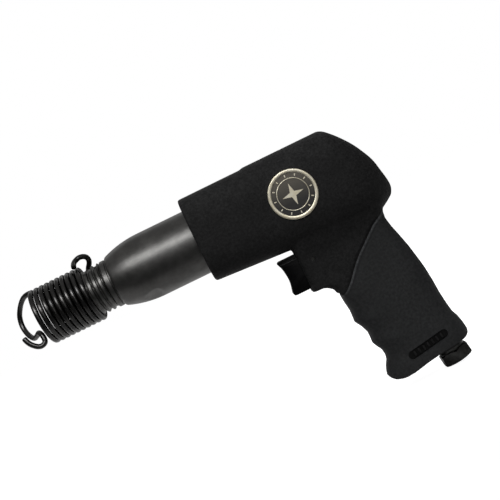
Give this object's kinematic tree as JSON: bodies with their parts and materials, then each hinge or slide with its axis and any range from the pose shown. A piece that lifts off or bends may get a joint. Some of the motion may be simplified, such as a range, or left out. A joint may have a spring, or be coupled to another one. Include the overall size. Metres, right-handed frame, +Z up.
{
  "type": "pneumatic air hammer",
  "caption": "Pistol-grip air hammer with a steel barrel, a screw-on chisel retainer spring, a rubber-covered head, a push-in trigger and an air inlet in the grip.",
  "frame": {"origin": "centre of the chisel bore at the barrel's nose face", "axes": "+X backward along the barrel, +Z up, so the grip hangs toward -Z and the chisel leaves toward -X"},
  "size_m": [0.2434, 0.0517, 0.1611],
  "materials": {
    "barrel_steel": "dark oxide, satin",
    "spring_wire": "glossy black oxide",
    "bright_steel": "ground steel",
    "cast_alloy": "as cast",
    "cover_rubber": "fine texture, matte",
    "grip_rubber": "smooth, satin",
    "trigger_plastic": "glossy black",
    "seal_rubber": "matte",
    "brass": "turned brass",
    "inlet_steel": "dark oxide",
    "badge_metal": "printed foil with a gold rim",
    "black_plastic": "matte"
  },
  "bodies": {
    "housing": {"barrel": "barrel_steel", "exhaust_deflector": "black_plastic", "lock_ring": "bright_steel", "valve_case_front": "bright_steel", "valve_case_rear": "bright_steel", "valve_dowel_pins": "bright_steel", "valve_case_seal": "seal_rubber", "wave_washer": "bright_steel", "handle_casting": "cast_alloy", "head_cover": "cover_rubber", "grip_sleeve": "grip_rubber", "badge": "badge_metal", "trigger_pin": "inlet_steel", "throttle_bushing": "brass", "bushing_seals": "seal_rubber", "throttle_spring": "bright_steel", "inlet_bushing": "inlet_steel", "inlet_washer": "seal_rubber", "inlet_screen": "bright_steel"},
    "retainer": {"retainer_spring": "spring_wire"},
    "piston": {"piston": "bright_steel"},
    "shuttle": {"shuttle_valve": "bright_steel"},
    "trigger": {"trigger": "trigger_plastic"},
    "throttle": {"throttle_valve": "bright_steel", "throttle_seal": "seal_rubber"}
  },
  "joints": [
    {"name": "retainer_slide", "type": "slide", "parent": "housing", "child": "retainer", "axis": [-1, 0, 0], "range_m": [0, 0.036]},
    {"name": "piston_stroke", "type": "slide", "parent": "housing", "child": "piston", "axis": [-1, 0, 0], "range_m": [0, 0.058]},
    {"name": "shuttle_shift", "type": "slide", "parent": "housing", "child": "shuttle", "axis": [1, 0, 0], "range_m": [0, 0.0019]},
    {"name": "trigger_press", "type": "slide", "parent": "housing", "child": "trigger", "axis": [1, 0, 0], "range_m": [0, 0.005], "stiffness_N_per_m": 1500, "springref_m": -0.004, "deforming": ["throttle_spring"]},
    {"name": "throttle_open", "type": "slide", "parent": "housing", "child": "throttle", "axis": [1, 0, 0], "range_m": [0, 0.005]}
  ],
  "couplings": [
    {"joint": "throttle_open", "follows": "trigger_press", "ratio": 1}
  ]
}
